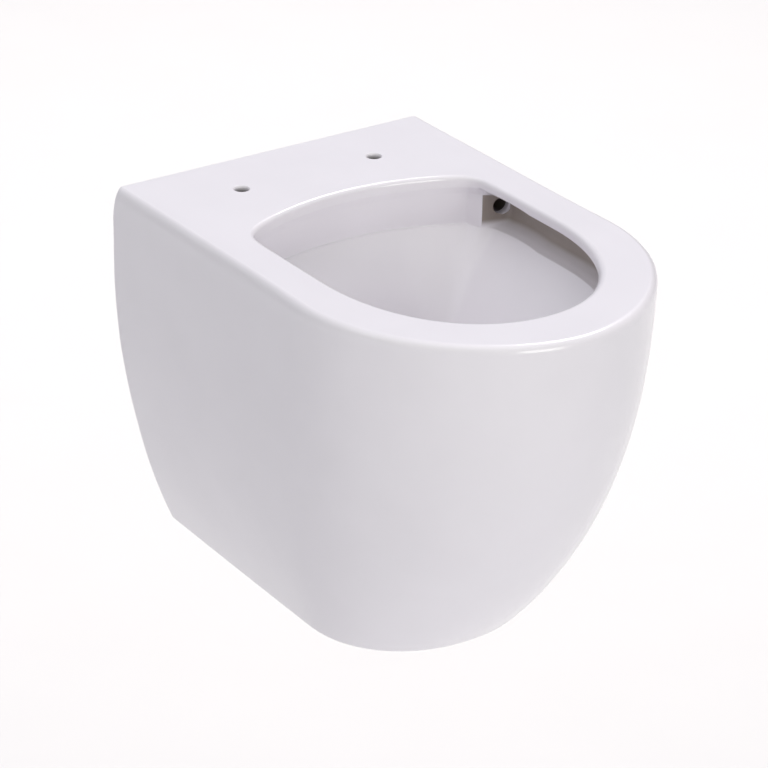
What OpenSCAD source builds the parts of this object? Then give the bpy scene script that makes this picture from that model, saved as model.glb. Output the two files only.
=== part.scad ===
// Wall hung rimless toilet pan with its concealed fixings, clamped from above through the seat holes.
// Millimetres. +Z is up, the tiled wall is the plane y = 0 and the pan reaches out towards -Y.
// The origin lies on the wall, midway between the two wall studs. u is the distance out from the wall.

/* [Pan outside] */
// Widest width of the pan
pan_w = 365; // [362:1:370]
// Width of the pan where its top meets the wall
pan_wall_w = 360; // [356:1:362]
// Length from the wall to the front of the rim
pan_l = 512; // [505:1:530]
// Height from the underside at the wall to the top of the rim
pan_h = 380; // [375:1:386]
// Height of the rim's top above the wall studs
rim_z = 80; // [78:1:82]
// Distance from the wall to the widest place
widest_u = 318; // [300:1:325]
// Share of the top width that is left at the underside
base_w_share = 0.64; // [0.62:0.01:0.72]
// Share of the length that is left at the underside
base_l_share = 0.69; // [0.67:0.01:0.74]
// How far the underside drops towards its front
base_drop = 8; // [0:1:10]
// Radius of the rim's outer edge
rim_r = 8; // [7:0.5:9]
// Thickness of the fired clay
wall_t = 11; // [10:0.5:12]

/* [Opening and bowl] */
// Width of the opening in the rim
open_w = 268; // [264:1:270]
// Distance from the wall to the middle of the opening's back edge
open_back = 121; // [120:1:124]
// Distance from the wall to the front edge of the opening
open_front = 450; // [440:1:452]
// Distance from the wall to the widest place of the opening
open_mid = 285; // [280:1:290]
// How far the ends of the opening's back edge lie in front of its middle
open_bow = 35; // [30:1:37]
// Radius of the rounded lip round the opening
lip_r = 9; // [8:0.5:10]
// Depth of the undercut behind the lip
channel_in = 31; // [30:0.5:32]
// Depth of the flush channel's floor below the rim
channel_z = 53; // [52:1:55]
// Radius of the passage through the water trap
trap_r = 38; // [37:0.5:39]
// Diameter of a flush hole at the end of the distributor
flush_hole_d = 18; // [17:0.5:19]

/* [Wall and plumbing] */
// Distance between the two wall studs
stud_spacing = 180; // [180]
// Drop from the wall studs to the middle of the outlet
outlet_drop = 100; // [99:0.5:101]
// Rise from the wall studs to the middle of the flush inlet
inlet_rise = 35; // [34:0.5:36]
// Outside diameter of the outlet spigot
outlet_d = 102; // [101:0.5:103]
// Inside diameter of the inlet socket
inlet_d = 55; // [55:0.5:56]
// Outside diameter of the flush pipe that the inlet seal grips
flush_pipe_d = 45; // [44:0.5:46]

/* [Seat holes and fixings] */
// Distance between the two seat holes
seat_spacing = 155; // [153:1:156]
// Distance from the wall to the seat holes
seat_u = 67; // [66:0.5:68]
// Diameter of a seat hole
seat_hole_d = 14; // [13:0.5:15]
// Clearance hole for an M12 stud
stud_hole_d = 13; // [12.8:0.1:13.4]
// Thread diameter of the clamp screw
screw_d = 8; // [8]
// Lead of the clamp screw's thread
screw_lead = 1.25; // [1.25]
// Clamp screw turns from tight to loose
screw_turns = 12; // [10:1:12]
// Running clearance on the radius of a turning fit
run_gap = 0.05; // [0.03:0.01:0.08]
// Gap between faces that slide past each other
slide_gap = 0.3; // [0.2:0.05:0.4]

/* [Hidden] */
$fn = 32;

// Heights and places in the casting
base_z = rim_z - pan_h;
deck_z = rim_z - 12;
bowl_z = rim_z - channel_z;
bowl_grow = 12;
lip_z = rim_z - 2 * lip_r;
inlet_z = inlet_rise;
outlet_z = -outlet_drop;
weir_z = outlet_z + 8;
throat_z = outlet_z - 66;
throat_u = 252;
bend_r = trap_r + wall_t + 4;
crown_u = 78;
spigot_l = 44;
inlet_depth = 52;
seal_in = 6;
seal_l = 32;
seal_grip_l = 14;
seal_sides = 60;

// Distributor duct and flush holes
duct_in = 10;
duct_w = 22;
duct_h = 38;
duct_z = 40;
duct_wall = 9;
end_wall = 5;
duct_end_u = 177;
duct_turn_u = 147;
block_x = open_w / 2 + 1.5;
block_cut = [9, 8];
flush_hole_x = 155.5;
flush_hole_z = 48;
chamber_x = 145;

// Web with its windows, and the wall bracket that passes through each
stud_x = stud_spacing / 2;
seat_x = seat_spacing / 2;
arm_x = 85;
arm_w = 46;
arm_t = 4;
arm_low = -26;
arm_top = 28;
arm_l = 84;
web_t = 14;
web_z = -41;
window_w = arm_w + 4;
window_low = -31;
saddle_t = 3;
liner_t = 4;
liner_side = 11;
liner_rise = 12;
plate_t = 8;

// Clamp shoe and screw
shoe_h = 12;
shoe_u = 33;
shoe_slope = 0.25;
ear_reach = 35;
ear_l = 14;
bridge_z = 12;
bridge_h = 6;
bridge_u = 57;
screw_end = -28.5;
clip_z = arm_low - 0.5;
clip_t = 1;
travel = screw_turns * screw_lead;

// Curves and lofts

function lerp(a, b, t) = a + (b - a) * t;

// Half of the plan outline of the outside: side stretch from the wall, then the front nose
function half_outline(half_wall, half_wide, wide_u, length, power, side_n, nose_n) = concat(
    [for (i = [0 : side_n - 1]) let (u = wide_u * i / side_n, k = (wide_u - u) / wide_u)
        [half_wide - (half_wide - half_wall) * k * k, u]],
    [for (i = [0 : nose_n]) let (a = 90 * i / nose_n)
        [half_wide * pow(cos(a), 2 / power), wide_u + (length - wide_u) * pow(sin(a), 2 / power)]]);

// The whole outline, from the wall corner at +X round the nose to the wall corner at -X
function both_halves(half) = concat(half,
    [for (i = [len(half) - 2 : -1 : 0]) [-half[i][0], half[i][1]]]);

// Plan outline of the outside at the height share s, moved inwards by inset
function shell_ring(s, inset, side_n, nose_n) =
    let (narrow = 1 - (1 - base_w_share) * pow(1 - s, 2.7),
         reach = base_l_share + (1 - base_l_share) * pow(1 - pow(1 - s, 2.09), 0.95))
    both_halves(half_outline(pan_wall_w / 2 * narrow - inset, pan_w / 2 * narrow - inset,
        widest_u * lerp(0.79, 1, s), pan_l * reach - inset, lerp(2.13, 1.86, s), side_n, nose_n));

// The same ring in space. The underside drops towards its front, and behind moves the wall corners
function shell_points(s, inset, side_n = 6, nose_n = 20, behind = 0) =
    [for (p = shell_ring(s, inset, side_n, nose_n))
        [p[0], p[1] == 0 ? behind : -p[1], base_z + pan_h * s - base_drop * p[1] / 400 * (1 - s)]];

// Opening outline. grow widens the sides and the front, grow_back moves the back edge to the wall
function open_ring(grow, grow_back, count) = [for (i = [0 : count - 1])
    let (a = 360 * i / count, front = sin(a) >= 0, half = open_w / 2 + grow,
         depth = front ? open_front - open_mid + grow : open_mid - open_back + grow_back,
         power = front ? 2.1 : 8,
         r = pow(pow(abs(cos(a)) / half, power) + pow(abs(sin(a)) / depth, power), -1 / power),
         x = r * cos(a), v = r * sin(a),
         bow = front ? 0 : open_bow * pow(2 * x / open_w, 2) * -v / depth)
    [x, open_mid + v + bow]];

// The same outline below the lip, where the channel ends square in front of each end block of the
// distributor. The block's corner is cut off. Three points of a side move there, so 8 divides count
function channel_ring(grow, grow_back, count) =
    let (ring = open_ring(grow, grow_back, count), end_u = duct_end_u - grow_back)
    [for (i = [0 : count - 1])
        let (side = ring[i][0] < 0 ? -1 : 1, step = 5 / 8 * count - min(i, 3 / 2 * count - i))
        step == 0 ? [side * block_x, end_u - block_cut[1]]
        : step == 1 ? [side * (block_x + block_cut[0]), end_u]
        : step == 2 ? [side * (open_w / 2 + grow), end_u] : ring[i]];

function at_height(ring, z) = [for (p = ring) [p[0], -p[1], z]];

module plan(ring) {
    polygon([for (p = ring) [p[0], -p[1]]]);
}

// Closed solid through a list of rings with the same number of points, ordered upwards
module loft(rings) {
    n = len(rings[0]);
    last = len(rings) - 1;
    points = [for (ring = rings) each ring];
    sides = [for (k = [0 : last - 1]) for (i = [0 : n - 1])
        let (j = (i + 1) % n) each
        [[k * n + i, (k + 1) * n + j, (k + 1) * n + i], [k * n + i, k * n + j, (k + 1) * n + j]]];
    foot = [[for (i = [n - 1 : -1 : 0]) i]];
    head = [[for (i = [0 : n - 1]) last * n + i]];
    polyhedron(points, concat(foot, sides, head), convexity = 6);
}

// Cylinder that starts at the distance u from the wall and runs away from it
module out_cylinder(x, u, z, length, r, sides = 32) {
    translate([x, -u, z]) rotate([90, 0, 0]) cylinder(length, r = r, $fn = sides);
}

// Box between two corners, each given as [x, u, z]
module out_box(low, high) {
    translate([low[0], -high[1], low[2]])
        cube([high[0] - low[0], high[1] - low[1], high[2] - low[2]]);
}

// Ceramic pan: outside, and the hollow behind its skin

module pan_outside() {
    foot_r = 5;
    loft(concat(
        [for (a = [0 : 30 : 60]) shell_points(foot_r * (1 - cos(a)) / pan_h, foot_r * (1 - sin(a)))],
        [for (i = [0 : 11]) shell_points(lerp(foot_r / pan_h, 1 - (rim_r + 4) / pan_h, i / 11), 0)],
        [for (a = [0 : 22.5 : 90]) shell_points(1 - rim_r * (1 - sin(a)) / pan_h, rim_r * (1 - cos(a)))]));
}

module pan_hollow() {
    low = (wall_t + 1) / pan_h;
    high = (deck_z - base_z) / pan_h;
    difference() {
        loft([for (i = [0 : 8]) shell_points(lerp(low, high, i / 8), wall_t, 4, 12, 1)]);
        // The web that the fixings clamp stays
        out_box([-pan_w, -10, web_z], [pan_w, web_t, rim_z]);
        // The rim and the channel walls are cast solid
        out_box([-pan_w, duct_end_u - 2, bowl_z - 8], [pan_w, pan_l, rim_z]);
    }
}

// Ceramic pan: one water way from the rim through the bowl and the trap to the outlet

// Ring of the bowl: share 0 is its upper edge below the channel, share 1 the throat of the trap.
// The channel's square corners fade out over the upper quarter
function bowl_ring(share, skin, count) =
    let (square_top = channel_ring(bowl_grow + skin, skin, count),
         round_top = open_ring(bowl_grow + skin, skin, count), r = trap_r + skin,
         z = lerp(bowl_z, throat_z, 0.55 * share + 0.45 * pow(share, 4)) - 0.55 * skin * (1 - share))
    [for (i = [0 : count - 1])
        let (a = 360 * i / count, top = lerp(square_top[i], round_top[i], min(1, 4 * share)))
        [lerp(top[0], r * cos(a), share), -lerp(top[1], throat_u + r * sin(a), share), z]];

// Ring across the trap. The heading is 0 for down and 90 for towards the wall
function trap_ring(u, z, r, heading, count) = [for (i = [0 : count - 1]) let (a = 360 * i / count)
    [r * cos(a), -u - r * sin(a) * cos(heading), z - r * sin(a) * sin(heading)]];

// Middle line of the trap from the outlet to the throat, as [u, z, heading]. It runs level over the
// weir, bends down along the crown, falls straight at rise_heading and turns up through the low bend
low_bend = [throat_u - bend_r, throat_z];
crown = [crown_u, weir_z - bend_r];
crown_way = crown - low_bend;
rise_heading = 360 - acos(2 * bend_r / norm(crown_way)) - atan2(crown_way[1], crown_way[0]);
trap_line = concat(
    [for (u = [30, 52]) [u, outlet_z, 90]],
    [for (i = [0 : 4]) let (h = lerp(90, rise_heading, i / 4))
        [crown[0] - bend_r * cos(h), crown[1] + bend_r * sin(h), h]],
    [for (i = [0 : 6]) let (h = lerp(rise_heading, 0, i / 7))
        [low_bend[0] + bend_r * cos(h), low_bend[1] - bend_r * sin(h), h]]);

function trap_rings(skin, count) =
    [for (p = trap_line) trap_ring(p[0], p[1], trap_r + skin, p[2], count)];

// Section of the channel and the rounded lip: height, growth of the sides, growth of the back edge
channel_steps = concat(
    [[bowl_z + 2.5, channel_in - 7, 0], [bowl_z + 6.5, channel_in - 1.5, 0], [bowl_z + 12, channel_in, 0],
     [lip_z - 12, channel_in, 0], [lip_z - 6, channel_in - 2.5, 0], [lip_z - 2.5, channel_in - 7, 0],
     [lip_z - 0.6, lip_r + 5, 0]],
    [for (a = [-80 : 20 : 60]) [rim_z - lip_r + lip_r * sin(a), lip_r * (1 - cos(a)),
        a < 0 ? 0 : lip_r * (1 - cos(a))]],
    [[rim_z - 0.25, lip_r * 0.75, lip_r * 0.75], [rim_z + 0.5, lip_r, lip_r]]);

module water_way() {
    count = 48;
    loft(concat(trap_rings(0, count), [for (share = [1 : -0.125 : 0]) bowl_ring(share, 0, count)],
        [for (step = channel_steps) at_height(step[1] > lip_r
            ? channel_ring(step[1], step[2], count) : open_ring(step[1], step[2], count), step[0])]));
}

module water_way_skin() {
    count = 32;
    loft(concat(trap_rings(wall_t, count), [for (share = [1 : -0.25 : 0]) bowl_ring(share, wall_t, count)],
        [for (z = [bowl_z + 8, deck_z + 4])
            at_height(channel_ring(channel_in + wall_t, wall_t, count), z)]));
}

// Ceramic pan: distributor behind the opening's back edge, with a flush hole at each end

module duct(skin) {
    low = duct_z - duct_h / 2 - skin;
    high = skin > 0 ? deck_z + 2 : duct_z + duct_h / 2;
    end_u = skin > 0 ? duct_end_u : duct_end_u - end_wall;
    translate([0, 0, low]) linear_extrude(high - low) {
        difference() {
            plan(open_ring(duct_in + duct_w + skin, duct_in + duct_w + skin, 48));
            plan(open_ring(duct_in - skin, duct_in - skin, 48));
            translate([-pan_w, -pan_l]) square([2 * pan_w, pan_l - duct_turn_u - skin]);
        }
        // Chamber behind the flush hole, cast solid as far as the duct's front wall
        for (side = [0, 1]) mirror([side, 0]) translate([chamber_x - (skin > 0 ? skin + 8 : 0), -end_u])
            square([24 + (skin > 0 ? 2 * skin + 8 : 0), end_u - duct_turn_u + 14 + skin]);
    }
}

// Throat between the inlet socket and the duct, merged into the deck above it
module inlet_throat(skin) {
    reach = open_back - duct_in - duct_w;
    hull() {
        out_cylinder(0, inlet_depth - 1, inlet_z, 1, 22 + skin, 32);
        out_cylinder(0, reach - 2, duct_z, 4, duct_h / 2 + skin, 32);
        if (skin > 0) out_box([-22 - skin, 20, deck_z - 2], [22 + skin, reach, deck_z + 2]);
    }
}

// Keyhole window for a wall bracket: its wide foot lets the ears of the loosened shoe through
module bracket_window() {
    out_box([arm_x - window_w / 2, -1, window_low], [arm_x + window_w / 2, web_t + 1, arm_top + saddle_t]);
    out_box([arm_x - ear_reach - 3, -1, window_low], [arm_x + ear_reach + 3, web_t + 1, -shoe_h / 2 - 1]);
}

// The casting before its round bores are cut
module pan_body() {
    difference() {
        union() {
            difference() {
                pan_outside();
                pan_hollow();
            }
            intersection() {
                pan_outside();
                union() {
                    water_way_skin();
                    duct(duct_wall);
                    inlet_throat(duct_wall);
                }
            }
        }
        water_way();
        duct(0);
        inlet_throat(0);
        for (side = [0, 1]) mirror([side, 0, 0]) {
            bracket_window();
            // Pilot of the flush hole. The round hole takes it in
            out_box([flush_hole_x - 5, duct_end_u - end_wall - 1, flush_hole_z - 5],
                [flush_hole_x + 5, duct_end_u + 1, flush_hole_z + 5]);
        }
    }
}

module ceramic_pan() {
    color([0.93, 0.92, 0.94]) difference() {
        union() {
            resize([0, 0, 0]) pan_body();
            out_cylinder(0, 0, outlet_z, spigot_l, outlet_d / 2);
            out_cylinder(0, 0, inlet_z, inlet_depth, inlet_d / 2 + duct_wall);
        }
        out_cylinder(0, -1, outlet_z, spigot_l + 2, trap_r + 1.5);
        out_cylinder(0, -1, inlet_z, inlet_depth + 1, inlet_d / 2, seal_sides);
        for (side = [-1, 1]) {
            translate([side * seat_x, -seat_u, deck_z - 2]) cylinder(16, d = seat_hole_d);
            out_cylinder(side * flush_hole_x, duct_end_u - end_wall - 4, flush_hole_z,
                end_wall + 8, flush_hole_d / 2);
        }
    }
}

// Rubber sleeve that seals the flush pipe in the inlet socket: a gripping neck, then a lip
module inlet_seal() {
    outer = inlet_d / 2 - run_gap;
    grip = flush_pipe_d / 2 + run_gap;
    wide = grip + 2.4;
    lip = grip + 0.8;
    color([0.12, 0.12, 0.13]) translate([0, -seal_in, inlet_z]) rotate([90, 0, 0])
        rotate_extrude($fn = seal_sides) polygon([[grip, 0], [outer, 0], [outer, seal_l], [wide, seal_l],
            [wide, seal_l - 3], [lip, seal_l - 5], [lip, seal_l - 7], [wide, seal_l - 9],
            [wide, seal_grip_l + 2], [grip, seal_grip_l]]);
}

// Fixings. Each module draws the right one, and the left one is its mirror image

// Cast arm on the wall stud: it carries the pan and holds the clamp screw under the seat hole
module wall_bracket() {
    inner = arm_w / 2 - arm_t;
    color([0.62, 0.64, 0.66]) difference() {
        translate([arm_x, 0, 0]) {
            out_box([-arm_w / 2, 0, arm_low], [arm_w / 2, plate_t, arm_top]);
            for (side = [0, 1]) mirror([side, 0, 0])
                out_box([inner, plate_t, arm_low], [inner + arm_t, arm_l, arm_top]);
            out_box([-inner, plate_t, arm_low], [inner, arm_l, arm_low + arm_t]);
            out_box([-inner, arm_l - arm_t, arm_low + arm_t], [inner, arm_l, arm_top]);
            out_box([-inner, bridge_u, bridge_z], [inner, arm_l - arm_t, bridge_z + bridge_h]);
        }
        out_cylinder(stud_x, -1, 0, plate_t + 2, stud_hole_d / 2);
        translate([seat_x, -seat_u, arm_low - 1]) cylinder(60, d = screw_d + 2 * run_gap);
        // Slots that the ears of the shoe slide in
        out_box([0, shoe_u - 2, arm_low + arm_t], [arm_x + arm_w, shoe_u + ear_l + 2, shoe_h / 2 + 1]);
    }
}

module stud_washer() {
    color([0.75, 0.76, 0.78]) difference() {
        out_cylinder(stud_x, plate_t, 0, 2.5, 12);
        out_cylinder(stud_x, plate_t - 1, 0, 5, stud_hole_d / 2);
    }
}

// M12 nut with a bore of the thread's core diameter
module stud_nut() {
    color([0.75, 0.76, 0.78]) difference() {
        out_cylinder(stud_x, plate_t + 2.5, 0, 10, 19 / 2 / cos(30), 6);
        out_cylinder(stud_x, plate_t + 1, 0, 13, 5.1);
    }
}

// Side view of the shoe's sloping face: how far it lies from the wall at the height z
function shoe_face(z) = shoe_u + (z + shoe_h / 2) * shoe_slope;

// Solid of the side profile [u, z] between two places along X
module side_profile(from_x, to_x, profile) {
    translate([from_x, 0, 0]) rotate([90, 0, 90]) linear_extrude(to_x - from_x)
        polygon([for (p = profile) [-p[0], p[1]]]);
}

// Moulded saddle clipped in the window: it seats the pan on the arm and takes the shoe's push
module window_liner() {
    half = window_w / 2;
    cheek = liner_side / 2;
    low = -shoe_h / 2;
    top = shoe_h / 2 + 6;
    head = arm_top + liner_rise;
    color([0.2, 0.2, 0.22]) {
        out_box([arm_x - half, 1, arm_top], [arm_x + half, web_t, arm_top + saddle_t]);
        out_box([arm_x - half, web_t, arm_top], [arm_x + half, web_t + liner_t, head]);
        for (side = [-1, 1]) translate([arm_x + side * (half + cheek), 0, 0]) {
            out_box([-cheek, web_t, low], [cheek, web_t + liner_t, head]);
            side_profile(-cheek, cheek, [[web_t + liner_t, low], [shoe_face(low) - slide_gap, low],
                [shoe_face(top) - slide_gap, top], [web_t + liner_t, top + 8]]);
        }
    }
}

// Sliding shoe on the clamp screw: its two ears press the liner, and so the pan, to the wall
module clamp_shoe() {
    half = arm_w / 2 - arm_t - slide_gap;
    top = shoe_h / 2;
    back = shoe_u + ear_l;
    color([0.55, 0.56, 0.58]) difference() {
        union() {
            side_profile(arm_x - ear_reach, arm_x + ear_reach,
                [[shoe_face(-top), -top], [back, -top], [back, top], [shoe_face(top), top]]);
            out_box([arm_x - half, back - 1, -top], [arm_x + half, arm_l - arm_t - slide_gap, top]);
        }
        translate([seat_x, -seat_u, -top - 1]) cylinder(shoe_h + 2, d = screw_d + 2 * run_gap);
    }
}

// Socket head screw. Its thread is drawn as a plain shank
module clamp_screw() {
    head_z = bridge_z + bridge_h;
    color([0.8, 0.81, 0.82]) translate([seat_x, -seat_u, 0]) difference() {
        union() {
            translate([0, 0, screw_end]) cylinder(head_z - screw_end, d = screw_d);
            translate([0, 0, head_z]) cylinder(8, d = 13);
        }
        translate([0, 0, head_z + 3.5]) cylinder(5, d = 6 / cos(30), $fn = 6);
        translate([0, 0, clip_z - clip_t]) difference() {
            cylinder(clip_t, d = screw_d + 1);
            translate([0, 0, -1]) cylinder(clip_t + 2, d = screw_d - 1.6);
        }
    }
}

// Spring clip in the groove near the screw's end, below the bracket
module screw_clip() {
    color([0.35, 0.36, 0.38]) translate([seat_x, -seat_u, clip_z - clip_t]) difference() {
        cylinder(clip_t, d = 14);
        translate([0, 0, -1]) cylinder(clip_t + 2, d = screw_d - 1.6);
        translate([-2.2, 0, -1]) cube([4.4, 10, clip_t + 2]);
    }
}

module left() {
    mirror([1, 0, 0]) children();
}

ceramic_pan();
inlet_seal();
left() wall_bracket();  // wall_bracket_left
wall_bracket();  // wall_bracket_right
left() stud_washer();  // stud_washer_left
stud_washer();  // stud_washer_right
left() stud_nut();  // stud_nut_left
stud_nut();  // stud_nut_right
left() window_liner();  // window_liner_left
window_liner();  // window_liner_right
left() clamp_shoe();  // clamp_shoe_left
clamp_shoe();  // clamp_shoe_right
left() clamp_screw();  // clamp_screw_left
clamp_screw();  // clamp_screw_right
left() screw_clip();  // screw_clip_left
screw_clip();  // screw_clip_right
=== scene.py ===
"""Looks of a wall hung rimless toilet pan with its concealed fixings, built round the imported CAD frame."""

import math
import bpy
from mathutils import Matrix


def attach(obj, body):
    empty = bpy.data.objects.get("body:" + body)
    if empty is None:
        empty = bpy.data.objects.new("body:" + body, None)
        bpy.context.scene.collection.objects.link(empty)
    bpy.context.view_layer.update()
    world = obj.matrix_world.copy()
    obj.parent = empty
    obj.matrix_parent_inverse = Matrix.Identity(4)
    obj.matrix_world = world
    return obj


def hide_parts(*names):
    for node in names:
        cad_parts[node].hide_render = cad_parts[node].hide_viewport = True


bl_info = {
    "name": "Wall hung toilet pan",
    "version": (1, 0, 0),
    "blender": (4, 5, 0),
    "location": "3D View > Sidebar > Toilet pan",
    "description": "Casts the glazed pan, finishes its wall fixings and sets up the studio",
    "category": "Object",
}

import bmesh
import bpy
import numpy as np
from bpy.props import FloatProperty, FloatVectorProperty, PointerProperty, StringProperty
from mathutils import Matrix, Vector

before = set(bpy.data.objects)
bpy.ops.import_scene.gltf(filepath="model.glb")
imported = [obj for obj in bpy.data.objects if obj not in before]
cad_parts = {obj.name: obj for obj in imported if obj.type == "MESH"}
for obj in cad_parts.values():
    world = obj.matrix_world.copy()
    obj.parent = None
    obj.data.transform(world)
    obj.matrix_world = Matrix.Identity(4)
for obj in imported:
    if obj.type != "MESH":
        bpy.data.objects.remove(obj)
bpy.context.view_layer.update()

# Sizes of the pan in millimetres, the same as in the part's source. u is the distance out from the wall.

# Outside
PAN_W = 365.0
PAN_WALL_W = 360.0
PAN_L = 512.0
PAN_H = 380.0
RIM_Z = 80.0
WIDEST_U = 318.0
BASE_W_SHARE = 0.64
BASE_L_SHARE = 0.69
BASE_DROP = 8.0
DROP_U = 400.0
RIM_R = 8.0
WALL_T = 11.0
BASE_Z = RIM_Z - PAN_H
DECK_Z = RIM_Z - 12.0

# How the outside changes from foot to rim. The powers bend its curves, WIDEST_LOW is how far out the foot is
# widest, as a share of the rim's WIDEST_U, and the nose has one power at the foot and one at the rim.
NARROW_POWER = 2.7
REACH_POWER, REACH_BEND = 2.09, 0.95
WIDEST_LOW = 0.79
NOSE_POWER_LOW, NOSE_POWER_HIGH = 2.13, 1.86

# Opening, lip, channel and bowl
OPEN_W = 268.0
OPEN_BACK = 121.0
OPEN_FRONT = 450.0
OPEN_MID = 285.0
OPEN_BOW = 35.0
OPEN_FRONT_POWER = 2.1
LIP_R = 9.0
LIP_Z = RIM_Z - 2 * LIP_R
CHANNEL_IN = 31.0
CHANNEL_Z = 53.0
BOWL_GROW = 12.0
BOWL_Z = RIM_Z - CHANNEL_Z

# Trap, outlet and inlet
OUTLET_D = 102.0
OUTLET_Z = -100.0
SPIGOT_L = 44.0
TRAP_R = 38.0
OUTLET_BORE_R = TRAP_R + 1.5
WEIR_Z = OUTLET_Z + 8.0
THROAT_Z = OUTLET_Z - 66.0
THROAT_U = 252.0
BEND_R = TRAP_R + WALL_T + 4.0
CROWN_U = 78.0
INLET_Z = 35.0
INLET_D = 55.0
INLET_DEPTH = 52.0

# Seat holes, flush holes and the distributor behind them
SEAT_X = 77.5
SEAT_U = 67.0
SEAT_HOLE_R = 7.0
FLUSH_X = 155.5
FLUSH_Z = 48.0
FLUSH_R = 9.0
DUCT_IN = 10.0
DUCT_W = 22.0
DUCT_H = 38.0
DUCT_Z = 40.0
DUCT_WALL = 9.0
DUCT_END_U = 177.0
DUCT_TURN_U = 147.0
CHAMBER_X = 145.0
CHAMBER_W = 24.0
CHAMBER_U = DUCT_TURN_U - 14.0
INLET_THROAT_R = 22.0
BLOCK_X = OPEN_W / 2 + 1.5

# Web with its windows for the wall brackets
WEB_T = 14.0
WEB_Z = -41.0
ARM_X = 85.0
ARM_TOP = 28.0
WINDOW_W = 50.0
WINDOW_LOW = -31.0
SADDLE_T = 3.0
SHOE_H = 12.0
EAR_REACH = 35.0

# The softness of the casting, which the part's source has plainer: rounded edges, a lip that is thinner along
# the sides, a leaning back wall above a ledge, and end blocks with a slanted face and a thicker end wall
FOOT_R = 5.0
SIDE_EDGE_R = 2.5
BACK_EDGE_R = 2.0
OPEN_BACK_POWER = 14.0
BACK_LIP_R = 5.0
SIDE_LIP_R = 4.5
SIDE_LIP_IN = 2.0
SIDE_LIP_T = 12.0
BACK_LEAN = 4.5
LEDGE = 2.5
BLOCK_SLANT = 8.0
BLOCK_OUTER_R = 1.2
BLOCK_INNER_R = 7.0
END_WALL = 10.0
FLUSH_U = DUCT_END_U - 2.5
FLUSH_FLARE = 0.8

# The bowl falls evenly by one share of its depth and ever more steeply by the other. The skin round it lies
# lower at its upper edge by a share of the skin's thickness.
BOWL_EVEN, BOWL_STEEP = 0.55, 0.45
SKIN_DROP = 0.55

# Pairs of a place and the size there. The outer edge has a width and a height for distances out from the
# wall, and the sides stand out at the wall by a swell for heights above the underside.
EDGE_WIDE = ((250, 11.0), (330, 9.5), (400, RIM_R))
EDGE_TALL = ((230, 32.0), (280, 26.0), (340, 15.0), (400, RIM_R))
SIDE_SWELL = ((125, 0.0), (170, 1.4), (215, 2.9), (260, 3.4), (285, 3.5), (325, 2.6), (PAN_H, 2.4))

# Edges that turn by more degrees than this stay sharp
SHARP_ANGLE = 38

# The rounded edge of a seat hole, as pairs of how much wider it is and its height from the deck
SEAT_HOLE_EDGE = ((0.0, -2.6), (0.3, -1.6), (0.7, -0.7), (1.2, -0.2), (1.7, 0.1), (1.7, 5.0))

# The way that a flush hole runs, square to the slanted face of its end block: inwards, and out from the wall
FLUSH_WAY = (0.26, 0.966)

# The photograph's frame and camera: the frame's width in pixels, the camera's place in millimetres, its axes
# and its focal length in pixels
FRAME_PX = 768
CAMERA_PLACE = (-1821.634, -2749.55, 1434.085)
CAMERA_RIGHT = (0.8192441, -0.5730561, 0.0211151)
CAMERA_UP = (0.2358642, 0.3702982, 0.8984694)
CAMERA_BACK = (-0.5226923, -0.7310855, 0.438528)
FOCAL_PX = 3602.96
SENSOR_MM = 36.0

# The studio, with the floor in millimetres and the backdrop's lamp in metres. Each sun has its width, the
# angle round the pan that it comes from, counted from the front over the right, its height and its colour.
FLOOR_REACH = 20000.0
BACKDROP_SIZE = (5.0, 5.4)
BACKDROP_PLACE = (2.0, 2.6, -0.4)
SUNS = (("back", 110, 180, 60, (0.86, 0.9, 1)), ("left", 80, 300, 60, (1, 0.98, 0.92)),
        ("right", 20, 118, 53, (1, 0.93, 0.95)), ("front", 30, 0, 12, (1, 1, 0.95)))


# Curves of the casting, in millimetres


def look_up(pairs, place):
    """The size at a place, between the nearest two of the pairs."""
    return np.interp(place, *zip(*pairs))


def shoulder(u, depth):
    """How far the outer edge is rounded off at a depth below the deck. Round the front its profile is a
    quarter circle, and along the sides a quarter ellipse that is about three times as tall as it is wide."""
    left = np.clip(1 - depth / look_up(EDGE_TALL, u), 0, 1)
    return look_up(EDGE_WIDE, u) * (1 - np.sqrt(1 - left ** 2))


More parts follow.
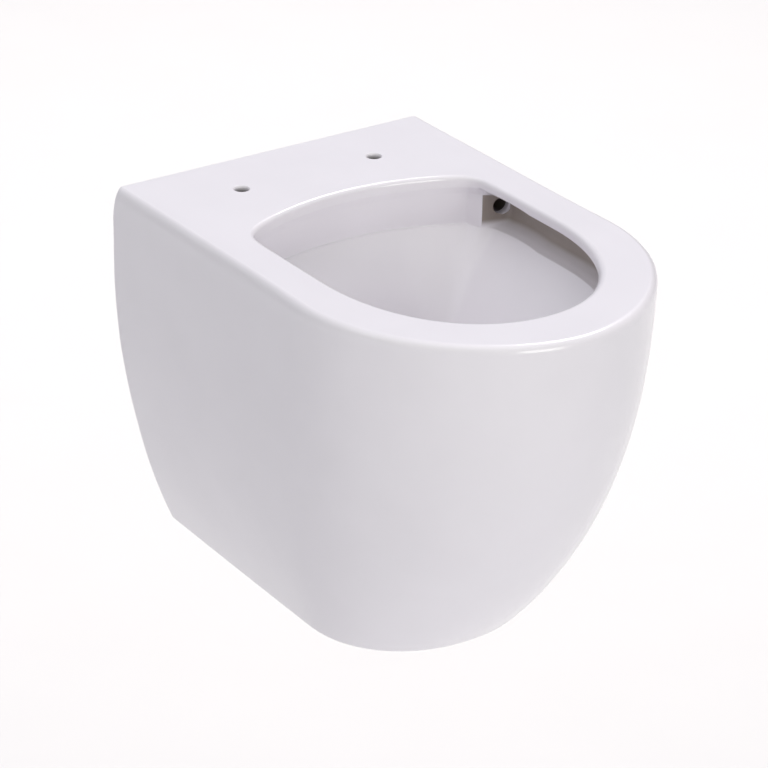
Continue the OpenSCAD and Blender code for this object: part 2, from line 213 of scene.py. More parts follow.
def shell_ring(height, inset, wall_inset, side_n=44, nose_n=90):
    """Plan outline of the outside at a height above the underside, from one wall corner to the other.
    inset is a distance, or a function that gives it for each distance from the wall."""
    inset_at = inset if callable(inset) else lambda u: inset
    s = height / PAN_H
    narrow = 1 - (1 - BASE_W_SHARE) * (1 - s) ** NARROW_POWER
    reach = BASE_L_SHARE + (1 - BASE_L_SHARE) * (1 - (1 - s) ** REACH_POWER) ** REACH_BEND
    half_wall = PAN_WALL_W / 2 * narrow + look_up(SIDE_SWELL, height)
    half_wide = PAN_W / 2 * narrow
    wide_u = WIDEST_U * (WIDEST_LOW + (1 - WIDEST_LOW) * s)
    length = PAN_L * reach
    power = NOSE_POWER_LOW + (NOSE_POWER_HIGH - NOSE_POWER_LOW) * s
    # More points close to the wall, where the edge is rounded
    near_wall = np.concatenate([[0.0, 0.3, 0.8, 1.5, 2.5, 4.0], np.linspace(8.0, wide_u, side_n)[:-1]])
    k = (wide_u - near_wall) / wide_u
    half_x = half_wide - (half_wide - half_wall) * k * k - inset_at(near_wall)
    from_edge = np.maximum(SIDE_EDGE_R - near_wall, 0.0)
    tuck = SIDE_EDGE_R - np.sqrt(SIDE_EDGE_R ** 2 - from_edge ** 2)
    side = np.stack([half_x - tuck, np.maximum(near_wall, wall_inset)], 1)
    a = np.linspace(0, math.pi / 2, nose_n)
    across, along = np.cos(a).clip(0) ** (2 / power), np.sin(a) ** (2 / power)
    nose_inset = inset_at(wide_u + (length - wide_u) * along)
    nose = np.stack([(half_wide - nose_inset) * across, wide_u + (length - nose_inset - wide_u) * along], 1)
    half = np.concatenate([side, nose])
    other = half[-2::-1] * [-1, 1]
    return np.concatenate([half, other])


def shell_z(ring, height):
    """Heights of a ring's points in the part's frame. The underside drops towards its front."""
    return BASE_Z + height - BASE_DROP * ring[:, 1] / DROP_U * (1 - height / PAN_H)


def shell_level(height, inset, wall_inset):
    """One ring of the outside in space."""
    ring = shell_ring(height, inset, wall_inset)
    return np.stack([ring[:, 0], -ring[:, 1], shell_z(ring, height)], 1)


# Polar angles of the right half of the opening about its middle, closest at the end block's corners
HALF_ANGLES = np.radians(np.concatenate([np.arange(-90, -56, 1.7), np.arange(-56, -32, 0.4),
                                         np.arange(-32, -16, 1.0), np.arange(-16, 90, 1.6), [90.0]]))
# So many of them lie along the back edge, where x rises from point to point
BACK_POINTS = 40


def both_halves(half):
    """Adds the mirror image of the right half of a ring."""
    return np.concatenate([half, half[-2:0:-1] * ([-1] + [1] * (half.shape[1] - 1))])


def fillet(a, corner, b, r, steps=7):
    """Points of a rounded corner: a quadratic curve that leaves both sides r from the corner."""
    a, corner, b = (np.array(p, float) for p in (a, corner, b))
    start = corner + (a - corner) * min(0.45, r / np.hypot(*(a - corner)))
    end = corner + (b - corner) * min(0.45, r / np.hypot(*(b - corner)))
    t = np.linspace(0, 1, steps)[:, None]
    return (1 - t) ** 2 * start + 2 * t * (1 - t) * corner + t ** 2 * end


def half_opening(grow, grow_back, square=0.0):
    """Right half of the opening's outline as [x, u]. grow widens the sides and the front, grow_back
    the back edge, and square draws the outline in round the distributor's end block."""
    a = np.radians(np.linspace(-90, 90, 901))
    front = a >= 0
    half = OPEN_W / 2 + grow
    depth = np.where(front, OPEN_FRONT - OPEN_MID + grow, OPEN_MID - OPEN_BACK + grow_back)
    power = np.where(front, OPEN_FRONT_POWER, OPEN_BACK_POWER)
    r = ((np.cos(a).clip(0) / half) ** power + (np.abs(np.sin(a)) / depth) ** power) ** (-1 / power)
    x, v = r * np.cos(a), r * np.sin(a)
    v = v + np.where(front, 0.0, OPEN_BOW * (2 * x / OPEN_W) ** 2 * -v / depth)
    reach = np.interp(HALF_ANGLES, np.arctan2(v, x), np.hypot(x, v))
    if square:
        # Along the back edge to 7 mm before the block, round the block's two corners, and on along the side,
        # which is near enough straight from 60 mm behind the middle
        outline = np.stack([x, v], 1)
        back = outline[(a < 0) & (x < BLOCK_X - 7)]
        side = outline[a > -0.35]
        end = DUCT_END_U - max(grow_back, 0) - OPEN_MID
        inner, outer = (BLOCK_X, end - BLOCK_SLANT), (half, end)
        path = np.concatenate([back, fillet(back[-1], inner, outer, BLOCK_OUTER_R),
                               fillet(inner, outer, (half, -60), BLOCK_INNER_R), side])
        squared = np.interp(HALF_ANGLES, np.arctan2(path[:, 1], path[:, 0]),
                            np.hypot(path[:, 0], path[:, 1]))
        reach = reach + (squared - reach) * square
    return np.stack([reach * np.cos(HALF_ANGLES), OPEN_MID + reach * np.sin(HALF_ANGLES)], 1)


def level(ring, z):
    """A half outline as a whole ring at the height z."""
    return both_halves(np.stack([ring[:, 0], -ring[:, 1], np.full(len(ring), float(z))], 1))


def lip_level(turn, upper):
    """One ring of the lip. turn goes from 0 on its upright face to 90 degrees on its top or its underside.
    The lip is full at the front and thinner along the sides, and at the back it ends the leaning wall."""
    turn = math.radians(turn)
    front = np.sin(HALF_ANGLES).clip(0)[:, None] ** 2
    r = SIDE_LIP_R + (LIP_R - SIDE_LIP_R) * front
    grow = r * (1 - math.cos(turn)) - SIDE_LIP_IN * (1 - front)
    low = SIDE_LIP_T + (2 * LIP_R - SIDE_LIP_T) * front
    z = RIM_Z - r * (1 - math.sin(turn)) if upper else RIM_Z - low + r * (1 - math.sin(turn))
    back = (BACK_LIP_R * (1 - math.cos(turn)) if upper else 0) - BACK_LEAN
    square = 0.0 if upper else turn / math.pi * 2
    near, far = half_opening(-SIDE_LIP_IN, back, square), half_opening(LIP_R, back, square)
    ring = near + (far - near) * (grow + SIDE_LIP_IN) / (LIP_R + SIDE_LIP_IN)
    if upper:
        # Behind the corners, which lie between 30 and 60 degrees, the lip has the back wall's own radius
        behind = np.clip(-np.degrees(HALF_ANGLES) / 30 - 1, 0, 1)[:, None]
        z = z + (RIM_Z - BACK_LIP_R * (1 - math.sin(turn)) - z) * behind
    return both_halves(np.concatenate([ring * [1, -1], z], 1))


def bowl_level(share, skin=0.0):
    """One ring of the bowl: share 0 is its upper edge below the channel, 1 the throat of the trap.
    The channel's square corners fade out over the upper quarter."""
    ledge = 0.0 if skin else LEDGE
    top = half_opening(BOWL_GROW + skin, skin - ledge, max(0.0, 1 - 4 * share))
    r = TRAP_R + skin
    fall = BOWL_EVEN * share + BOWL_STEEP * share ** 4
    z = BOWL_Z + (THROAT_Z - BOWL_Z) * fall - SKIN_DROP * skin * (1 - share)
    ring = np.stack([top[:, 0] + (r * np.cos(HALF_ANGLES) - top[:, 0]) * share,
                     top[:, 1] + (THROAT_U + r * np.sin(HALF_ANGLES) - top[:, 1]) * share], 1)
    return level(ring, z)


def trap_middle():
    """Middle line of the trap from the outlet to the throat, as (u, z, heading)."""
    bend = np.array([THROAT_U - BEND_R, THROAT_Z])
    crown = np.array([CROWN_U, WEIR_Z - BEND_R])
    way = crown - bend
    rise = 2 * math.pi - math.acos(2 * BEND_R / np.hypot(*way)) - math.atan2(way[1], way[0])
    # A straight stretch in the spigot, then the bend over the crown and the bend under the throat
    line = [(u, OUTLET_Z, math.pi / 2) for u in (30.0, 40.0, 52.0)]
    for h in np.linspace(math.pi / 2, rise, 9):
        line.append((crown[0] - BEND_R * math.cos(h), crown[1] + BEND_R * math.sin(h), h))
    for h in np.linspace(rise, 0, 15)[:-1]:
        line.append((bend[0] + BEND_R * math.cos(h), bend[1] - BEND_R * math.sin(h), h))
    return line


def trap_levels(skin=0.0):
    """The rings of the trap, from the outlet to the throat."""
    r = TRAP_R + skin
    x, out = r * np.cos(HALF_ANGLES), r * np.sin(HALF_ANGLES)
    return [both_halves(np.stack([x, -u - out * math.cos(h), z - out * math.sin(h)], 1))
            for u, z, h in trap_middle()]


def corner_cut(rings, times=1):
    """Rounds the profile through a list of rings by cutting each corner at a quarter of its sides."""
    for _ in range(times):
        cut = [rings[0]]
        for a, b in zip(rings[:-1], rings[1:]):
            cut += [a * 0.75 + b * 0.25, a * 0.25 + b * 0.75]
        rings = cut + [rings[-1]]
    return rings


# Meshes


def new_object(name, points, faces, material=None):
    """A mesh object from points in millimetres."""
    mesh = bpy.data.meshes.new(name)
    mesh.from_pydata((np.asarray(points) / 1000).tolist(), [], faces)
    measured = bmesh.new()
    measured.from_mesh(mesh)
    if measured.calc_volume(signed=True) < 0:
        mesh.flip_normals()
    measured.free()
    piece = bpy.data.objects.new(name, mesh)
    bpy.context.scene.collection.objects.link(piece)
    if material:
        mesh.materials.append(material)
    return piece


def loft(name, rings, material=None):
    """A closed solid through rings of the same number of points, ordered upwards."""
    n = len(rings[0])
    faces = []
    for k in range(len(rings) - 1):
        for i in range(n):
            j = (i + 1) % n
            faces.append((k * n + i, k * n + j, (k + 1) * n + j, (k + 1) * n + i))
    # Each end is closed by a fan round its middle
    last = (len(rings) - 1) * n
    foot, head = last + n, last + n + 1
    for i in range(n):
        j = (i + 1) % n
        faces += [(foot, j, i), (head, last + i, last + j)]
    points = np.concatenate(list(rings) + [rings[0].mean(0)[None], rings[-1].mean(0)[None]])
    return new_object(name, points, faces, material)


def turned(name, profile, place, along, sides=96, material=None):
    """A closed solid of round rings: profile lists their (radius, distance) pairs on a line from a place.
    The line runs across X or nearly so."""
    place = np.array(place, float)
    along = np.array(along, float)
    across = np.array([1.0, 0, 0])
    other = np.cross(along, across)
    a = np.linspace(0, 2 * math.pi, sides, endpoint=False)[:, None]
    rings = [place + along * d + r * (np.cos(a) * across + np.sin(a) * other) for r, d in profile]
    return loft(name, rings, material)


def block(name, low, high, material=None):
    """A box between two corners, each as (x, u, z)."""
    (x0, u0, z0), (x1, u1, z1) = low, high
    rings = [np.array([[x0, -u1, z], [x1, -u1, z], [x1, -u0, z], [x0, -u0, z]], float) for z in (z0, z1)]
    return loft(name, rings, material)


def carve(piece, cutters, operation="DIFFERENCE"):
    """Applies one boolean for each cutter, which is then removed."""
    for cutter in cutters:
        tool = piece.modifiers.new("carve", "BOOLEAN")
        tool.operation = operation
        tool.solver = "MANIFOLD"
        tool.material_mode = "TRANSFER"
        tool.object = cutter
        with bpy.context.temp_override(object=piece, active_object=piece, selected_objects=[piece]):
            bpy.ops.object.modifier_apply(modifier=tool.name)
        mesh = cutter.data
        bpy.data.objects.remove(cutter)
        bpy.data.meshes.remove(mesh)
    return piece


def both_sides(make):
    """What a function makes for the left side, -1, and for the right side, 1."""
    return [make(side) for side in (-1, 1)]


# Materials


def linear(hex_colour):
    """An sRGB hex colour as linear RGBA."""
    parts = [int(hex_colour.lstrip("#")[i:i + 2], 16) / 255 for i in (0, 2, 4)]
    return [c / 12.92 if c <= 0.04045 else ((c + 0.055) / 1.055) ** 2.4 for c in parts] + [1.0]


def add_node(tree, kind, links=None, **settings):
    """Adds a node. Settings name its inputs, or its own properties, and links feed its inputs."""
    node = tree.nodes.new(kind)
    for name, value in settings.items():
        if hasattr(node, name):
            setattr(node, name, value)
        else:
            node.inputs[name.replace("_", " ")].default_value = value
    for name, source in (links or {}).items():
        tree.links.new(source, node.inputs[name])
    return node


def new_material(name):
    """A material with only its shader and output. Returns the material, its tree and its shader."""
    material = bpy.data.materials.new(name)
    material.use_nodes = True
    tree = material.node_tree
    tree.nodes.clear()
    shader = tree.nodes.new("ShaderNodeBsdfPrincipled")
    output = tree.nodes.new("ShaderNodeOutputMaterial")
    tree.links.new(shader.outputs["BSDF"], output.inputs["Surface"])
    return material, tree, shader


def glazed_china(look):
    """Vitreous china, slip cast and glazed: a clear, slightly wavy glass layer over a white body."""
    material, tree, shader = new_material("glazed_vitreous_china")
    place = add_node(tree, "ShaderNodeTexCoord").outputs["Object"]
    # The glaze flows in the kiln and leaves waves about 25 mm apart
    waves = add_node(tree, "ShaderNodeTexNoise", {"Vector": place}, Scale=1 / 0.025, Detail=1.0)
    bump = add_node(tree, "ShaderNodeBump", {"Height": waves.outputs["Fac"]}, Strength=0.05, Distance=0.0004)
    tint = add_node(tree, "ShaderNodeTexNoise", {"Vector": place}, Scale=1 / 0.09, Detail=2.0)
    ramp = add_node(tree, "ShaderNodeValToRGB", {"Fac": tint.outputs["Fac"]})
    ramp.color_ramp.elements[0].color = linear(look.glaze_shade)
    ramp.color_ramp.elements[1].color = linear(look.glaze)
    ramp.color_ramp.elements[0].position = 0.3
    ramp.color_ramp.elements[1].position = 0.7
    tree.links.new(ramp.outputs["Color"], shader.inputs["Base Color"])
    tree.links.new(bump.outputs["Normal"], shader.inputs["Normal"])
    tree.links.new(bump.outputs["Normal"], shader.inputs["Coat Normal"])
    shader.inputs["Roughness"].default_value = 0.35
    shader.inputs["IOR"].default_value = 1.5
    shader.inputs["Coat Weight"].default_value = 0.6
    shader.inputs["Coat Roughness"].default_value = 0.06
    shader.inputs["Coat IOR"].default_value = 1.5
    return material


def glaze_fading_to_shade(look, name, start, end, colour):
    """Glaze with painted shade: its tone goes from the glaze's own at the first height, in millimetres, to
    the given colour at the second."""
    material = glazed_china(look)
    material.name = name
    tree = material.node_tree
    shader = tree.nodes["Principled BSDF"]
    place = add_node(tree, "ShaderNodeTexCoord").outputs["Object"]
    parts = add_node(tree, "ShaderNodeSeparateXYZ", {"Vector": place})
    depth = add_node(tree, "ShaderNodeMapRange", {"Value": parts.outputs["Z"]}, From_Min=start / 1000,
                     From_Max=end / 1000)
    blend = add_node(tree, "ShaderNodeValToRGB", {"Fac": depth.outputs["Result"]})
    blend.color_ramp.interpolation = "EASE"
    blend.color_ramp.elements[0].color = linear(look.glaze)
    blend.color_ramp.elements[1].color = linear(colour)
    tree.links.new(blend.outputs["Color"], shader.inputs["Base Color"])
    return material


def fired_clay(look):
    """The same china where it isn't glazed, inside and against the wall: matte, with a fine grain."""
    material, tree, shader = new_material("unglazed_fired_clay")
    place = add_node(tree, "ShaderNodeTexCoord").outputs["Object"]
    # Grains of 0.3 mm are drawn at 1.2 mm, or they wouldn't show
    grain = add_node(tree, "ShaderNodeTexNoise", {"Vector": place}, Scale=1 / 0.0012, Detail=3.0)
    stain = add_node(tree, "ShaderNodeTexNoise", {"Vector": place}, Scale=1 / 0.06, Detail=3.0)
    ramp = add_node(tree, "ShaderNodeValToRGB", {"Fac": stain.outputs["Fac"]})
    ramp.color_ramp.elements[0].color = linear("#cfc8bd")
    ramp.color_ramp.elements[1].color = linear("#e2ddd5")
    bump = add_node(tree, "ShaderNodeBump", {"Height": grain.outputs["Fac"]}, Strength=0.3, Distance=0.0002)
    tree.links.new(ramp.outputs["Color"], shader.inputs["Base Color"])
    tree.links.new(bump.outputs["Normal"], shader.inputs["Normal"])
    shader.inputs["Roughness"].default_value = 0.75
    return material


def fixing_material(name, light, dark, metallic, roughness, spread, grain_mm, bump_mm):
    """A moulded, cast or rolled surface: two close tones, a gloss that varies by spread and a fine relief."""
    material, tree, shader = new_material(name)
    place = add_node(tree, "ShaderNodeTexCoord").outputs["Object"]
    grain = add_node(tree, "ShaderNodeTexNoise", {"Vector": place}, Scale=1000 / grain_mm, Detail=3.0)
    tone = add_node(tree, "ShaderNodeTexNoise", {"Vector": place}, Scale=1000 / (grain_mm * 9), Detail=2.0)
    ramp = add_node(tree, "ShaderNodeValToRGB", {"Fac": tone.outputs["Fac"]})
    ramp.color_ramp.elements[0].color = linear(dark)
    ramp.color_ramp.elements[1].color = linear(light)
    gloss = add_node(tree, "ShaderNodeMapRange", {"Value": grain.outputs["Fac"]}, To_Min=roughness - spread,
                     To_Max=roughness + spread)
    bump = add_node(tree, "ShaderNodeBump", {"Height": grain.outputs["Fac"]}, Strength=0.5,
                    Distance=bump_mm / 1000)
    tree.links.new(ramp.outputs["Color"], shader.inputs["Base Color"])
    tree.links.new(gloss.outputs["Result"], shader.inputs["Roughness"])
    tree.links.new(bump.outputs["Normal"], shader.inputs["Normal"])
    shader.inputs["Metallic"].default_value = metallic
    return material


def fixing_materials():
    """Materials of the fixings and the seal, by the start of the names of the nodes that have them."""
    # Dull grey with the grain of the mould
    zinc = fixing_material("die_cast_zinc", "#a6a8ab", "#8f9194", metallic=1.0, roughness=0.42, spread=0.08,
                           grain_mm=0.8, bump_mm=0.05)
    # Brighter and slightly blue, with the spangle of the plating
    plated = fixing_material("zinc_plated_steel", "#c9ccd0", "#b3b8c0", metallic=1.0, roughness=0.28,
                             spread=0.06, grain_mm=0.5, bump_mm=0.02)
    # Near black with a satin skin
    nylon = fixing_material("moulded_nylon", "#2c2c2f", "#242427", metallic=0.0, roughness=0.5, spread=0.08,
                            grain_mm=0.6, bump_mm=0.04)
    # Black and matte
    rubber = fixing_material("epdm_rubber", "#1c1c1e", "#161617", metallic=0.0, roughness=0.65, spread=0.1,
                             grain_mm=0.5, bump_mm=0.04)
    # Bright, with hardly any relief
    stainless = fixing_material("stainless_steel", "#cfd0d2", "#c0c2c4", metallic=1.0, roughness=0.25,
                                spread=0.06, grain_mm=0.4, bump_mm=0.01)
    # Dark blue-grey from tempering
    spring = fixing_material("blued_spring_steel", "#4a4d53", "#3a3d44", metallic=1.0, roughness=0.35,
                             spread=0.08, grain_mm=0.4, bump_mm=0.01)
    return {"wall_bracket": zinc, "clamp_shoe": zinc, "stud_washer": plated, "stud_nut": plated,
            "window_liner": nylon, "inlet_seal": rubber, "clamp_screw": stainless, "screw_clip": spring}


def studio_floor():
    """A matte, pale floor with hardly any mottle."""
    material, tree, shader = new_material("pale_studio_floor")
    place = add_node(tree, "ShaderNodeTexCoord").outputs["Object"]
    mottle = add_node(tree, "ShaderNodeTexNoise", {"Vector": place}, Scale=4.0)
    ramp = add_node(tree, "ShaderNodeValToRGB", {"Fac": mottle.outputs["Fac"]})
    ramp.color_ramp.elements[0].color = linear("#d2d2d4")
    ramp.color_ramp.elements[1].color = linear("#d4d4d6")
    tree.links.new(ramp.outputs["Color"], shader.inputs["Base Color"])
    shader.inputs["Roughness"].default_value = 0.9
    return material


# The casting


def outside(material):
    """The outer skin: foot, flanks and rounded rim, with its wall edges rounded off."""
    edge_h = EDGE_TALL[0][1]
    heights = np.concatenate([[0, 0.25, 0.7, 1.3, 2.1, 3.0, 4.0, FOOT_R],
                              np.linspace(8, PAN_H - edge_h - 2, 80),
                              PAN_H - edge_h * (1 - np.sin(np.radians(np.linspace(0, 90, 34))))])
    rings = []
    for h in heights:
        down = max(0.0, FOOT_R - h)
        foot = FOOT_R - math.sqrt(max(FOOT_R ** 2 - down ** 2, 0))

        def inset(u, h=h, foot=foot):
            return foot + shoulder(u, PAN_H - h)

        near = max(0.0, h - (PAN_H - BACK_EDGE_R), BACK_EDGE_R - h)
        wall_inset = BACK_EDGE_R - math.sqrt(max(BACK_EDGE_R ** 2 - near ** 2, 0))
        rings.append(shell_level(h, inset, wall_inset))
    # The flat deck is closed by rings that shrink to its middle, so that the holes cut small faces
    edge = rings[-1]
    centre = np.array([0, -OPEN_MID, RIM_Z])
    for share in (0.99, 0.93, 0.86, 0.78, 0.69, 0.58, 0.45, 0.3, 0.15):
        rings.append(centre + (edge - centre) * share)
    return loft("ceramic_pan_visual", rings, material)


def water_way(material, under_lip_shade_material):
    """The space inside: trap, bowl, channel, rounded lip and mouth. Its faces in the channel, in front of
    the end blocks, have the glaze with painted shade under the lip."""
    rings = trap_levels()
    for share in np.linspace(1, 0, 33)[:-1]:
        rings.append(bowl_level(share))
    rings += [bowl_level(0.015), bowl_level(0.005), bowl_level(0.0)]
    # The ledge at the back is level with the channel's floor at the sides. Each row is a ring's height, how
    # much wider it is than the opening, and the share of the ledge that it still has.
    for z, grow, ledge in ((BOWL_Z + 0.3, BOWL_GROW + 2, 0.6), (BOWL_Z + 0.7, BOWL_GROW + 5, 0.1),
                           (BOWL_Z + 1.6, CHANNEL_IN - 10, 0), (BOWL_Z + 3, CHANNEL_IN - 5, 0),
                           (BOWL_Z + 6.5, CHANNEL_IN - 1.5, 0), (BOWL_Z + 12, CHANNEL_IN, 0),
                           (LIP_Z - 12, CHANNEL_IN, 0), (LIP_Z - 7, CHANNEL_IN - 1.8, 0),
                           (LIP_Z - 3.2, CHANNEL_IN - 5.5, 0), (LIP_Z - 1.4, CHANNEL_IN - 10, 0),
                           (LIP_Z - 0.5, CHANNEL_IN - 16, 0)):
        lean = BACK_LEAN * (z - BOWL_Z) / (RIM_Z - BACK_LIP_R - BOWL_Z)
        rings.append(level(half_opening(grow, -LEDGE * ledge - lean, 1.0), z))
    rings = corner_cut(rings, 2)
    rings += [lip_level(turn, False) for turn in np.linspace(84, 0, 12)]
    rings += [lip_level(turn, True) for turn in np.linspace(0, 84, 14)]
    # The mouth goes straight up from just above the deck
    edge = rings[-1] * [1, 1, 0]
    rings += [edge + [0, 0, z] for z in (RIM_Z + 0.07, RIM_Z + 4)]
    space = loft("water_way", rings, material)
    space.data.materials.append(under_lip_shade_material)
    # Faces of the channel in front of the blocks' corners, from the ledge to under the lip, take the painted
    # shade
    corner = math.atan2(DUCT_END_U - BLOCK_SLANT - OPEN_MID, BLOCK_X)
    for face in space.data.polygons:
        x, y, z = face.center * 1000
        if math.atan2(-y - OPEN_MID, abs(x)) > corner and BOWL_Z + 0.6 < z < LIP_Z + 2:
            face.material_index = 1
    return space


def water_way_skin():
    """The wall round the water way, which is left standing in the hollow."""
    rings = trap_levels(WALL_T)
    for share in np.linspace(1, 0, 17):
        rings.append(bowl_level(share, WALL_T))
    for z in (BOWL_Z + 8, DECK_Z + 4):
        rings.append(level(half_opening(CHANNEL_IN + WALL_T, WALL_T, 1.0), z))
    return loft("water_way_skin", rings)


def duct(skin, material=None):
    """The distributor behind the opening's back edge, with a chamber behind each flush hole."""
    low = DUCT_Z - DUCT_H / 2 - skin
    high = DECK_Z + 2 if skin else DUCT_Z + DUCT_H / 2
    turn = DUCT_TURN_U + skin
    end = DUCT_END_U if skin else DUCT_END_U - END_WALL
    near = half_opening(DUCT_IN - skin, DUCT_IN - skin)
    far = half_opening(DUCT_IN + DUCT_W + skin, DUCT_IN + DUCT_W + skin)
    rings = []
    for x in np.linspace(-FLUSH_X, FLUSH_X, 61):
        back = np.interp(abs(x), *far[:BACK_POINTS].T)
        front = min(turn, np.interp(abs(x), *near[:BACK_POINTS].T))
        front = max(front, back + 4)
        rings.append(np.array([[x, -back, low], [x, -front, low], [x, -front, high], [x, -back, high]]))
    piece = loft("duct", rings, material)
    inner = CHAMBER_X - (skin + 8 if skin else 0)
    outer = CHAMBER_X + CHAMBER_W + skin
    ends = both_sides(lambda side: block(
        "duct_end", (min(side * inner, side * outer), CHAMBER_U - skin, low),
        (max(side * inner, side * outer), end, high), material))
    return carve(piece, ends, "UNION")


def inlet_throat(skin, material=None):
    """The throat between the inlet socket and the distributor."""
    reach = OPEN_BACK - DUCT_IN - DUCT_W
    a = np.linspace(0, 2 * math.pi, 64, endpoint=False)
    rings = []
    for t in np.linspace(0, 1, 9):
        r = INLET_THROAT_R + skin + (DUCT_H / 2 - INLET_THROAT_R) * t
        z = INLET_Z + (DUCT_Z - INLET_Z) * t
        u = INLET_DEPTH - 1 + (reach + 3 - INLET_DEPTH) * t
        rings.append(np.stack([r * np.cos(a), np.full(len(a), -u), z + r * np.sin(a)], 1))
    return loft("inlet_throat", rings, material)


def bored(name, x, z, u_from, u_to, r, material=None):
    """A round bar or bore that runs straight out from the wall."""
    return turned(name, [(r, u_from), (r, u_to)], (x, 0, z), (0, -1, 0), material=material)


def windows(side, material):
    """Keyhole window for a wall bracket: its wide foot lets the ears of the loosened shoe through, with room
    beside and above them."""
    middle = side * ARM_X
    return [block("window", (middle - half, -1, WINDOW_LOW), (middle + half, WEB_T + 1, top), material)
            for half, top in ((WINDOW_W / 2, ARM_TOP + SADDLE_T), (EAR_REACH + 3, -SHOE_H / 2 - 1))]


def flush_hole(side, material):
    """A flush hole, which runs square to its end block's slanted face and flares a little."""
    inwards, out = FLUSH_WAY
    wide = FLUSH_R + FLUSH_FLARE
    return turned("flush_hole", [(FLUSH_R, -14), (FLUSH_R, -0.8), (FLUSH_R + 0.4, 0), (wide, 0.5), (wide, 4)],
                  (side * FLUSH_X, -FLUSH_U, FLUSH_Z), (-side * inwards, -out, 0), material=material)


def seat_hole(side, material):
    """A seat hole through the deck, with its edge rounded by the glaze."""
    profile = [(SEAT_HOLE_R, DECK_Z - 3)] + [(SEAT_HOLE_R + wider, RIM_Z + z) for wider, z in SEAT_HOLE_EDGE]
    return turned("seat_hole", profile, (side * SEAT_X, -SEAT_U, 0), (0, 0, 1), material=material)


def hollow(material):
    """The space behind the outer skin, open to the wall below the web."""
    rings = []
    for h in np.linspace(WALL_T + 1, DECK_Z - BASE_Z, 30):
        ring = shell_ring(h, WALL_T, 0, side_n=12, nose_n=30)
        # Points on the wall face go 1 mm behind it, so that the cut is clean
        y = np.where(ring[:, 1] < 0.01, 1.0, -ring[:, 1])
        rings.append(np.stack([ring[:, 0], y, shell_z(ring, h)], 1))
    return loft("hollow", rings, material)


# The studio


def add_to_scene(name, data):
    """A new object for a lamp's or a camera's data."""
    made = bpy.data.objects.new(name, data)
    bpy.context.scene.collection.objects.link(made)
    return made


def add_floor(drop):
    """A wide floor, at a distance in metres below the pan's underside."""
    z = BASE_Z - BASE_DROP - drop * 1000
    corners = [[-FLOOR_REACH, -FLOOR_REACH, z], [FLOOR_REACH, -FLOOR_REACH, z],
               [FLOOR_REACH, FLOOR_REACH, z], [-FLOOR_REACH, FLOOR_REACH, z]]
    floor = new_object("floor", corners, [(0, 1, 2, 3)], studio_floor())


def add_sky(scene, strength):
    """A faint white light from all round, and the plain way of turning light into tones."""
    scene.world = bpy.data.worlds.new("studio")
    scene.world.use_nodes = True
    sky = scene.world.node_tree.nodes["Background"]
    sky.inputs["Color"].default_value = (1, 1, 1, 1)
    sky.inputs["Strength"].default_value = strength
    # White paper in the photograph is white in the render too
    scene.view_settings.view_transform = "Standard"


def add_sun(name, strength, wide, turn, lift, colour):
    """A soft light from far away. Its width, its turn round the pan and its height are in degrees."""
    turn, lift = math.radians(turn), math.radians(lift)
    lamp = bpy.data.lights.new(name, "SUN")
    lamp.energy = strength
    lamp.color = colour
    lamp.angle = math.radians(wide)
    come = Vector((math.sin(turn) * math.cos(lift), -math.cos(turn) * math.cos(lift), math.sin(lift)))
    add_to_scene(name, lamp).rotation_euler = (-come).to_track_quat("-Z", "Y").to_euler()


def add_backdrop(power):
    """A lamp behind the wall line and below the pan, which whitens the floor there and nothing else."""
    lamp = bpy.data.lights.new("backdrop", "AREA")
    lamp.shape = "RECTANGLE"
    lamp.size, lamp.size_y = BACKDROP_SIZE
    lamp.energy = power
    lamp.color = (1, 0.945, 0.87)
    add_to_scene("backdrop", lamp).location = BACKDROP_PLACE


def add_camera(scene):
    """Puts the camera where the photograph was taken from."""
    camera = add_to_scene("camera", bpy.data.cameras.new("camera"))
    camera.data.sensor_width = SENSOR_MM
    camera.data.lens = SENSOR_MM * FOCAL_PX / FRAME_PX
    camera.data.clip_end = 60.0
    camera.matrix_world = Matrix.Translation(Vector(CAMERA_PLACE) / 1000) @ Matrix(
        (CAMERA_RIGHT, CAMERA_UP, CAMERA_BACK)).transposed().to_4x4()
    scene.camera = camera


# Settings and steps


class PanLooks(bpy.types.PropertyGroup):
    """Colours of the casting, and of the painted shade in its channel and seat holes."""

    glaze: StringProperty(name="Glaze", description="Lighter tone of the glaze, as sRGB hex",
                          default="#f0edf3")
    glaze_shade: StringProperty(name="Glaze shade", description="Darker tone of the glaze, as sRGB hex",
                                default="#edeaf0")
    # Painted shade under the lip, in the channel and on the end blocks' faces, darker upwards
    painted_channel_shade: StringProperty(name="Painted channel shade", description="Tone under the lip, where the glaze is thin",
                               default="#9a9088")
    # Painted shade deep in the seat holes, darker downwards
    painted_hole_shade: StringProperty(name="Bare body", default="#4d4844",
                              description="Tone deep in the seat holes, with hardly any glaze")


class StageLooks(bpy.types.PropertyGroup):
    """Studio round the pan."""

    floor_drop: FloatProperty(name="Floor drop", description="Height of the pan's underside above the floor",
                              default=1.2, min=0.0, unit="LENGTH")
    back: FloatProperty(name="Back light", description="Strength of the wide light above the wall side",
                        default=0.94)
    left: FloatProperty(name="Left light", description="Strength of the wide light above the front left",
                        default=0.85)
    right: FloatProperty(name="Right light", description="Strength of the lamp above the right, whose glint "
                         "lies on the front of the rim", default=1.22)
    front: FloatProperty(name="Front light", description="Strength of the low light from the front",
                         default=1.15)
    backdrop: FloatProperty(name="Backdrop light", description="Watts that whiten the floor behind the pan",
                            default=51.0, unit="POWER")
    sky: FloatProperty(name="Sky", description="Strength of the light from all round", default=0.2)


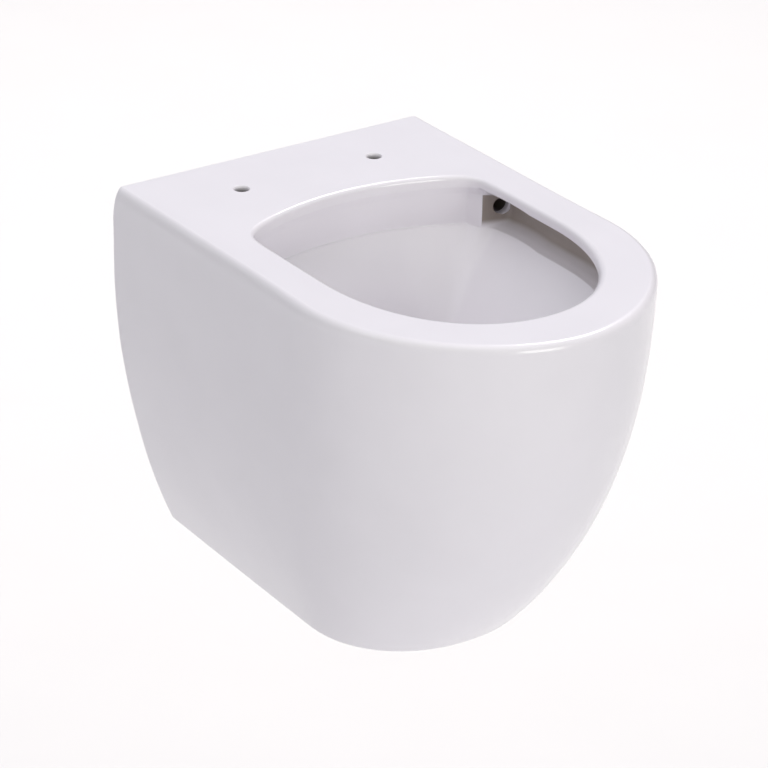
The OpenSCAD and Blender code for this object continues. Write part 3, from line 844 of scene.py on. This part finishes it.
class PAN_OT_cast(bpy.types.Operator):
    """Casts the pan as one glazed piece"""

    bl_idname = "pan.cast"
    bl_label = "Cast the pan"

    def execute(self, context):
        look = context.scene.pan_looks
        glaze = glazed_china(look)
        clay = fired_clay(look)
        # Painted shade: the channel and the end blocks' faces darken upwards towards the lip
        shaded = glaze_fading_to_shade(look, "thin_glaze_in_the_channel", BOWL_Z + 0.5, BOWL_Z + 8.5, look.painted_channel_shade)
        # Painted shade in the seat holes: the glaze darkens downwards from just below the deck
        deep_shade = glaze_fading_to_shade(look, "thin_glaze_in_the_seat_holes", RIM_Z - 1.5, RIM_Z - 8, look.painted_hole_shade)
        pan = outside(glaze)
        # What stands in the hollow is taken from it first. Every tool ends a little past the faces it cuts.
        space = hollow(clay)
        standing = [block("web", (-PAN_W, -10, WEB_Z), (PAN_W, WEB_T, RIM_Z)),
                    block("solid_rim", (-PAN_W, DUCT_END_U - 2, BOWL_Z - 8), (PAN_W, PAN_L, RIM_Z + 1)),
                    water_way_skin(), duct(DUCT_WALL), inlet_throat(DUCT_WALL),
                    bored("horn", 0, INLET_Z, -2, INLET_DEPTH, INLET_D / 2 + DUCT_WALL),
                    bored("spigot", 0, OUTLET_Z, -2, SPIGOT_L, OUTLET_D / 2)]
        carve(space, standing)
        carve(pan, [space, water_way(glaze, shaded), duct(0, shaded), inlet_throat(0, shaded),
                    bored("socket", 0, INLET_Z, -2, INLET_DEPTH, INLET_D / 2, clay),
                    bored("outlet", 0, OUTLET_Z, -2, SPIGOT_L + 1, OUTLET_BORE_R, glaze)])
        for side in (-1, 1):
            carve(pan, windows(side, clay) + [flush_hole(side, glaze)])
        carve(pan, both_sides(lambda side: seat_hole(side, deep_shade)))
        pan.data.shade_smooth()
        pan.data.set_sharp_from_angle(angle=math.radians(SHARP_ANGLE))
        level_faces = pan.modifiers.new("flat faces stay flat", "WEIGHTED_NORMAL")
        level_faces.keep_sharp = True
        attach(pan, "pan")
        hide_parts("ceramic_pan")
        return {"FINISHED"}


class PAN_OT_fixings(bpy.types.Operator):
    """Finishes the wall fixings and the inlet seal"""

    bl_idname = "pan.fixings"
    bl_label = "Finish the fixings"

    def execute(self, context):
        # The pan's CAD node has the glaze too, though the cast pan stands in for it
        by_start = {"ceramic_pan": bpy.data.materials["glazed_vitreous_china"], **fixing_materials()}
        for name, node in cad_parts.items():
            for start, material in by_start.items():
                if name.startswith(start):
                    node.data.materials.clear()
                    node.data.materials.append(material)
        return {"FINISHED"}


class PAN_OT_stage(bpy.types.Operator):
    """Sets up the floor, the lights and the camera"""

    bl_idname = "pan.stage"
    bl_label = "Set up the studio"

    def execute(self, context):
        look = context.scene.stage_looks
        add_floor(look.floor_drop)
        add_sky(context.scene, look.sky)
        for name, wide, turn, lift, colour in SUNS:
            add_sun(name, getattr(look, name), wide, turn, lift, colour)
        add_backdrop(look.backdrop)
        add_camera(context.scene)
        return {"FINISHED"}


class PAN_PT_side(bpy.types.Panel):
    """Lists the steps and their settings"""

    bl_idname = "PAN_PT_side"
    bl_label = "Toilet pan"
    bl_space_type = "VIEW_3D"
    bl_region_type = "UI"
    bl_category = "Toilet pan"

    def draw(self, context):
        column = self.layout.column()
        for name in ("glaze", "glaze_shade", "painted_channel_shade", "painted_hole_shade"):
            column.prop(context.scene.pan_looks, name)
        for name in ("floor_drop", "back", "left", "right", "front", "sky", "backdrop"):
            column.prop(context.scene.stage_looks, name)
        for step in STEPS:
            column.operator(step.bl_idname)


STEPS = (PAN_OT_cast, PAN_OT_fixings, PAN_OT_stage)
CLASSES = (PanLooks, StageLooks) + STEPS + (PAN_PT_side,)


def register():
    for kind in CLASSES:
        bpy.utils.register_class(kind)
    bpy.types.Scene.pan_looks = PointerProperty(type=PanLooks)
    bpy.types.Scene.stage_looks = PointerProperty(type=StageLooks)


def unregister():
    del bpy.types.Scene.stage_looks
    del bpy.types.Scene.pan_looks
    for kind in reversed(CLASSES):
        bpy.utils.unregister_class(kind)


def main():
    register()
    bpy.ops.pan.cast()
    bpy.ops.pan.fixings()
    bpy.ops.pan.stage()


if __name__ == "__main__":
    main()
